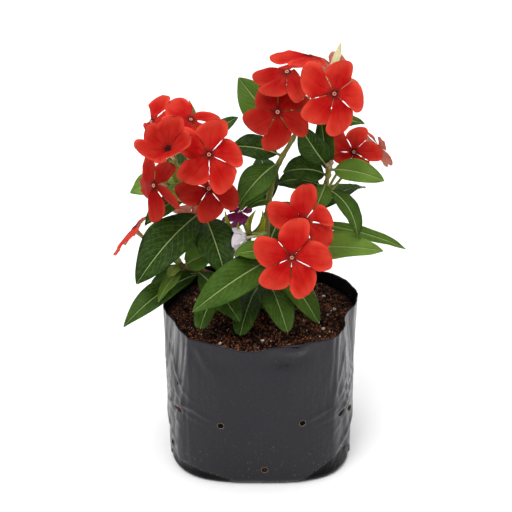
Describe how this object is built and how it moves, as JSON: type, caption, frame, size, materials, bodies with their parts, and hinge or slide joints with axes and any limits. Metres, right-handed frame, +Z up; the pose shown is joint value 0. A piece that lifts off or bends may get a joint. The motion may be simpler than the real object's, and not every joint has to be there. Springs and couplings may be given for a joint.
{
  "type": "potted flowering plant",
  "caption": "Madagascar periwinkle in bloom with glossy leaves, red and purple flowers, growing from dark soil in a black gusseted film nursery bag.",
  "frame": {"origin": "middle of the bag's flat base, on the surface that it stands on", "axes": "+Z up; -Y towards the front, the side that the picture shows; +X to the right seen from there"},
  "size_m": [0.1913, 0.1298, 0.2798],
  "materials": {
    "bag_film": "satin polythene film",
    "soil": "moist crumbs with white grains",
    "stem": "matt green, brown low down",
    "leaf": "satin with a pale rib",
    "red_petal": "velvety",
    "purple_petal": "velvety, white behind"
  },
  "bodies": {
    "root": {"bag": "bag_film", "soil": "soil", "main_stem": "stem", "left_branch": "stem", "right_branch": "stem", "low_branch": "stem", "front_branch": "stem", "purple_stem": "stem", "leaf_crown_left": "leaf", "leaf_crown_flat": "leaf", "leaf_crown_hang": "leaf", "leaf_crown_right": "leaf", "leaf_crown_back": "leaf", "leaf_main_grey": "leaf", "leaf_main_back": "leaf", "leaf_main_back_low": "leaf", "leaf_tip_upright": "leaf", "leaf_tip_behind": "leaf", "leaf_tip_right": "leaf", "leaf_tip_left": "leaf", "leaf_right_hang": "leaf", "leaf_right_narrow": "leaf", "leaf_right_broad": "leaf", "leaf_right_back": "leaf", "leaf_left_big": "leaf", "leaf_left_inner": "leaf", "leaf_left_high": "leaf", "leaf_left_outer": "leaf", "leaf_left_mid": "leaf", "leaf_left_back": "leaf", "leaf_left_back_low": "leaf", "leaf_low_outer": "leaf", "leaf_low_inner": "leaf", "leaf_low_round": "leaf", "leaf_low_behind": "leaf", "leaf_front_big": "leaf", "leaf_front_light": "leaf", "leaf_front_left": "leaf", "leaf_front_middle": "leaf", "leaf_front_right": "leaf", "bloom_front": "red_petal", "bloom_second": "red_petal", "bloom_crown_big": "red_petal", "bloom_crown_low": "red_petal", "bloom_crown_high": "red_petal", "bloom_crown_top": "red_petal", "bloom_crown_back": "red_petal", "bloom_right_low": "red_petal", "bloom_right_out": "red_petal", "bloom_left_cup": "red_petal", "bloom_left_big": "red_petal", "bloom_left_drop": "red_petal", "bloom_left_under": "red_petal", "bloom_left_behind": "red_petal", "bloom_left_high": "red_petal", "bloom_left_out": "red_petal", "bloom_left_back": "red_petal", "bloom_purple_folded": "purple_petal", "bloom_purple_open": "purple_petal"}
  },
  "joints": []
}
